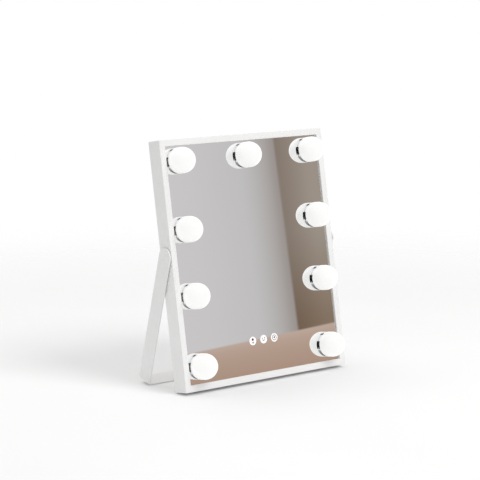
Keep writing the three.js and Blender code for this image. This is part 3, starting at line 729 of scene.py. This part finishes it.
def make_strap():
    """Flat strap bent to a U, with round ends and softened edges."""
    low, high = local_box("stand_strap", STAND)
    bm = bmesh.new()
    across = [-1, -0.5, 0, 0.5, 1]
    rows = []
    for point, from_end in strap_path(high.x, high.z, low.z):
        half = math.sqrt(max(high.z ** 2 - (high.z - from_end) ** 2, 0))
        rows.append([bm.verts.new((point.x, half * v, point.y)) for v in across])
    for first, second in zip(rows, rows[1:]):
        for i in range(len(across) - 1):
            bm.faces.new((first[i], second[i], second[i + 1], first[i + 1]))

    def thicken(obj):
        solid = obj.modifiers.new("thickness", "SOLIDIFY")
        solid.thickness = STRAP_THICKNESS
        solid.offset = -1 if outward(obj) else 1
        solid.use_even_offset = True
        edge = obj.modifiers.new("edge", "BEVEL")
        edge.width = STRAP_EDGE
        edge.segments = 3
        edge.limit_method = "ANGLE"
        edge.angle_limit = math.radians(50)

    strap = piece(
        bm, "strap", PAINT, STAND, body="stand",
        replaces=["stand_strap"], modifiers=thicken,
    )
    shade(strap.data)
    for side in SIDES.values():
        make_stud_end(side, high.x)


def outward(obj):
    """True if the sheet's normals point away from the middle of the U."""
    polygon = min(obj.data.polygons, key=lambda p: p.center.x)
    return polygon.normal.x < 0


def make_stud_end(side, strap_x):
    """The stud's riveted end, painted over: a low round button on the strap's outer face."""
    skirt, depth = STUD_BUTTON["skirt"], STUD_BUTTON["depth"]
    button = [Vector((0, -depth)), Vector((skirt, -depth)), Vector((skirt, STUD_SKIRT_TOP))]
    radius, rise = STUD_BUTTON["radius"], STUD_BUTTON["rise"]
    button += [Vector((radius * p.x, rise * p.y)) for p in arc((0, 0), 1, 10, 90, 6)]
    button[-1].x = 0
    turn = Matrix.Rotation(side * math.pi / 2, 4, "Z")
    place = STAND @ Matrix.Translation((side * strap_x, 0, 0)) @ turn
    name = "stud_end_" + ("right" if side > 0 else "left")
    piece(lathe(button, segments=40), name, PAINT, place, body="stand")


# ------------------------------------------------------------------ CAD nodes that are shown as they are


def paint_nodes():
    finishes = {
        "mirror_glass": SILVER,
        "backing_board": BOARD,
        "back_cover": COVER,
        "touch_board": CIRCUIT,
        "control_board": CIRCUIT,
        "lamp_wiring": WIRE,
        "touch_wiring": WIRE,
        "inlet_wiring": WIRE,
        "stand_foot_strip": SILICONE,
    }
    for side in SIDES:
        finishes["case_foot_" + side] = SILICONE
        finishes["pivot_bush_" + side] = NYLON
        finishes["pivot_stud_" + side] = STEEL
        finishes["stop_cam_" + side] = STEEL
    for i in LAMPS:
        finishes[f"lamp_base_{i}"] = LAMP_PLASTIC
        finishes[f"led_board_{i}"] = LED_BOARD
    for node, material in finishes.items():
        mesh = frame["nodes"][node].data
        mesh.materials.clear()
        mesh.materials.append(material)


# ------------------------------------------------------------------ studio

BACKDROP = (1.0, 1.0, 1.0)
FLOOR_RADIUS = 1.6
FLOOR_DROP = 0.05 * MM  # keeps the floor clear of the feet
FLOOR_FADE = (0.35, 1.3)  # distances between which the floor fades out
# The mirrored room's corner: its bearing in degrees on the horizon, and how much it gains with height.
ROOM = {"corner": 38.75, "corner_slope": 5.0}
LEDGE_TOP = (0.0605, 0.0615)  # heights between which the low band gives way to the walls


class Nodes:
    """Short calls for a node tree of numbers and colours."""

    def __init__(self, tree):
        self.tree = tree

    def new(self, kind, *inputs, operation=None):
        node = self.tree.nodes.new(kind)
        if operation:
            node.operation = operation
        for socket, value in zip(node.inputs, inputs):
            if isinstance(value, bpy.types.NodeSocket):
                self.tree.links.new(value, socket)
            elif value is not None:
                socket.default_value = value
        return node

    def maths(self, operation, *inputs):
        return self.new("ShaderNodeMath", *inputs, operation=operation).outputs[0]

    def mix(self, factor, first, second):
        node = self.tree.nodes.new("ShaderNodeMix")
        node.data_type = "RGBA"
        sockets = (node.inputs[0], node.inputs[6], node.inputs[7])
        for socket, value in zip(sockets, (factor, first, second)):
            if isinstance(value, bpy.types.NodeSocket):
                self.tree.links.new(value, socket)
            else:
                socket.default_value = value if isinstance(value, float) else (*value, 1.0)
        return node.outputs[2]

    def tint(self, colour, share):
        """One colour multiplied by another."""
        return self.new("ShaderNodeVectorMath", colour, share, operation="MULTIPLY").outputs["Vector"]

    def ramp(self, factor, start, end, stops):
        """Colour ramp over a factor that runs from start to end; stops are (factor, colour)."""
        span = self.new("ShaderNodeMapRange", factor, start, end, 0.0, 1.0).outputs[0]
        node = self.new("ShaderNodeValToRGB", span)
        shares = [((value - start) / (end - start), colour) for value, colour in stops]
        fill_ramp(node.color_ramp, shares)
        return node.outputs["Color"]


def grey(value):
    return (value, value, value)


def mirrored_room(nodes, parts):
    """What the glass shows: a lilac-grey wall, a taupe one beyond a corner, and a warm band low down."""
    bearing = nodes.maths("ARCTAN2", parts["X"], nodes.maths("MULTIPLY", parts["Y"], -1.0))
    degrees = nodes.maths("MULTIPLY", bearing, 180 / math.pi)
    corner = nodes.maths("MULTIPLY_ADD", parts["Z"], ROOM["corner_slope"], ROOM["corner"])
    past_corner = nodes.maths("SUBTRACT", degrees, corner)
    near = nodes.ramp(
        past_corner, -40.0, 1.0,
        [
            (-40, (0.66, 0.65, 0.65)),
            (-6, (0.64, 0.63, 0.635)),
            (-3, (0.61, 0.59, 0.595)),
            (-1.2, (0.56, 0.545, 0.55)),
            (-0.8, (0.505, 0.495, 0.49)),
            (-0.4, (0.44, 0.41, 0.4)),
            (0, (0.333, 0.295, 0.278)),
        ],
    )
    far = nodes.ramp(
        past_corner, -1.0, 40.0,
        [
            (0, (0.25, 0.205, 0.17)),
            (0.4, (0.287, 0.236, 0.2)),
            (1, (0.349, 0.3, 0.257)),
            (40, (0.45, 0.4, 0.36)),
        ],
    )
    shade = nodes.ramp(parts["Z"], 0.06, 0.12, [(0.065, (0.71, 0.61, 0.51)), (0.115, (1.0, 1.0, 1.0))])
    beyond = nodes.new("ShaderNodeMapRange", past_corner, -0.04, 0.04, 0.0, 1.0).outputs[0]
    wall = nodes.mix(beyond, near, nodes.tint(far, shade))
    ledge = nodes.ramp(
        parts["Z"], -1.0, 0.07,
        [
            (-1, (0.78, 0.775, 0.77)),
            (-0.05, (0.66, 0.655, 0.65)),
            (0.01, (0.5, 0.43, 0.39)),
            (0.035, (0.4, 0.27, 0.205)),
            (0.048, (0.45, 0.32, 0.25)),
            (0.057, (0.49, 0.36, 0.29)),
            (0.06, (0.54, 0.42, 0.36)),
        ],
    )
    above = nodes.new("ShaderNodeMapRange", parts["Z"], *LEDGE_TOP, 0.0, 1.0).outputs[0]
    return nodes.mix(above, ledge, wall)


def chrome_flags(nodes, parts):
    """What the collars show after the glass: black, white and grey cards one below another."""
    left = nodes.ramp(
        parts["Z"], -1.0, 1.0,
        [
            (-0.45, grey(0.32)),
            (-0.375, grey(0.45)),
            (-0.365, grey(1.0)),
            (-0.265, grey(1.0)),
            (-0.255, grey(0.004)),
            (0.5, grey(0.004)),
            (0.52, grey(1.0)),
        ],
    )
    low_right = nodes.ramp(
        parts["X"], -1.0, 1.0,
        [(-0.1, grey(0.35)), (0.25, grey(0.18)), (0.45, grey(0.06)), (0.6, grey(0.3)), (0.7, grey(1.0))],
    )
    high_right = nodes.ramp(
        parts["X"], -1.0, 1.0,
        [(0.18, grey(1.0)), (0.2, grey(0.03)), (0.42, grey(0.03)), (0.46, grey(1.0))],
    )
    high = nodes.maths("GREATER_THAN", parts["Z"], 0.1)
    on_right = nodes.new("ShaderNodeMapRange", parts["X"], -0.1, -0.02, 0.0, 1.0).outputs[0]
    return nodes.mix(on_right, left, nodes.mix(high, low_right, high_right))


def make_world():
    """White to the camera, an even soft light, a room in the mirror, and cards in the chrome."""
    world = bpy.data.worlds.new("studio")
    bpy.context.scene.world = world
    world.use_nodes = True
    nodes = Nodes(world.node_tree)
    background = world.node_tree.nodes["Background"]
    direction = nodes.new("ShaderNodeTexCoord").outputs["Generated"]
    parts = nodes.new("ShaderNodeSeparateXYZ", direction).outputs
    path = nodes.new("ShaderNodeLightPath").outputs

    mirrored = mirrored_room(nodes, parts)
    flags = chrome_flags(nodes, parts)
    sky = nodes.ramp(parts["Z"], -1.0, 1.0, [(-1, grey(0.6)), (0, grey(0.67)), (1, grey(0.63))])

    deep = nodes.maths("GREATER_THAN", path["Glossy Depth"], 1.5)
    glossy = nodes.mix(deep, mirrored, flags)
    lit = nodes.mix(path["Is Glossy Ray"], sky, glossy)
    seen = nodes.mix(path["Is Camera Ray"], lit, BACKDROP)
    world.node_tree.links.new(seen, background.inputs["Color"])


def make_floor():
    """A pale floor that fades out into the white backdrop."""
    bm = bmesh.new()
    bmesh.ops.create_circle(bm, cap_ends=True, segments=96, radius=FLOOR_RADIUS)
    mesh = bpy.data.meshes.new("floor")
    bm.to_mesh(mesh)
    bm.free()
    floor = bpy.data.objects.new("floor", mesh)
    floor.location.z = -FLOOR_DROP
    floor.visible_glossy = False
    bpy.context.scene.collection.objects.link(floor)

    material = bpy.data.materials.new("floor")
    material.use_nodes = True
    nodes = Nodes(material.node_tree)
    surface = material.node_tree.nodes["Principled BSDF"]
    output = material.node_tree.nodes["Material Output"]
    place = nodes.new("ShaderNodeTexCoord").outputs["Object"]
    noise = nodes.new("ShaderNodeTexNoise", place)
    noise.inputs["Scale"].default_value = 3.0
    tone = nodes.ramp(noise.outputs["Fac"], 0.0, 1.0, [(0.3, grey(0.9)), (0.7, grey(0.92))])
    material.node_tree.links.new(tone, surface.inputs["Base Color"])
    surface.inputs["Roughness"].default_value = 0.6
    surface.inputs["Specular IOR Level"].default_value = 0.15
    reach = nodes.new("ShaderNodeVectorMath", place, operation="LENGTH").outputs["Value"]
    fade = nodes.new("ShaderNodeMapRange", reach, *FLOOR_FADE, 0.0, 1.0)
    fade.interpolation_type = "SMOOTHSTEP"
    transparent = nodes.new("ShaderNodeBsdfTransparent")
    mix = nodes.new("ShaderNodeMixShader", fade.outputs[0], surface.outputs[0], transparent.outputs[0])
    material.node_tree.links.new(mix.outputs[0], output.inputs["Surface"])
    mesh.materials.append(material)


LIGHTS = {
    "key": {"place": (0.5, -1.9, 2.4), "aim": (0, 0, 0.15), "size": 1.4, "power": 34},
    "top": {"place": (-0.2, 0.6, 2.2), "aim": (0, 0, 0), "size": 1.6, "power": 13},
}


def make_light(name, place, aim, size, power):
    data = bpy.data.lights.new(name, "AREA")
    data.shape = "DISK"
    data.size = size
    data.energy = power
    light = bpy.data.objects.new(name, data)
    light.location = place
    light.rotation_euler = (Vector(aim) - Vector(place)).to_track_quat("-Z", "Y").to_euler()
    light.visible_camera = False
    light.visible_glossy = False
    bpy.context.scene.collection.objects.link(light)


CAMERA = {"azimuth": -38.07, "elevation": 9.06, "distance": 2.1216, "lens": 131.9}
CAMERA_AIM = Vector((-0.02726, 0.00059, 0.1746))  # from the middle of the case's rear bottom edge


def make_camera():
    azimuth, elevation = math.radians(CAMERA["azimuth"]), math.radians(CAMERA["elevation"])
    back = Vector(
        (
            math.sin(azimuth) * math.cos(elevation),
            -math.cos(azimuth) * math.cos(elevation),
            math.sin(elevation),
        )
    )
    data = bpy.data.cameras.new("camera")
    data.sensor_width = 36.0
    data.lens = CAMERA["lens"]
    camera = bpy.data.objects.new("camera", data)
    edge = CASE.translation
    camera.location = edge + CAMERA_AIM + back * CAMERA["distance"]
    camera.rotation_euler = back.to_track_quat("Z", "Y").to_euler()
    bpy.context.scene.collection.objects.link(camera)
    bpy.context.scene.camera = camera


make_camera()
make_case()
make_lamps()
make_touch_marks()
make_screws()
make_inlet()
make_strap()
paint_nodes()
make_world()
make_floor()
for light_name, light in LIGHTS.items():
    make_light(light_name, **light)
bpy.context.scene.view_settings.view_transform = "Standard"
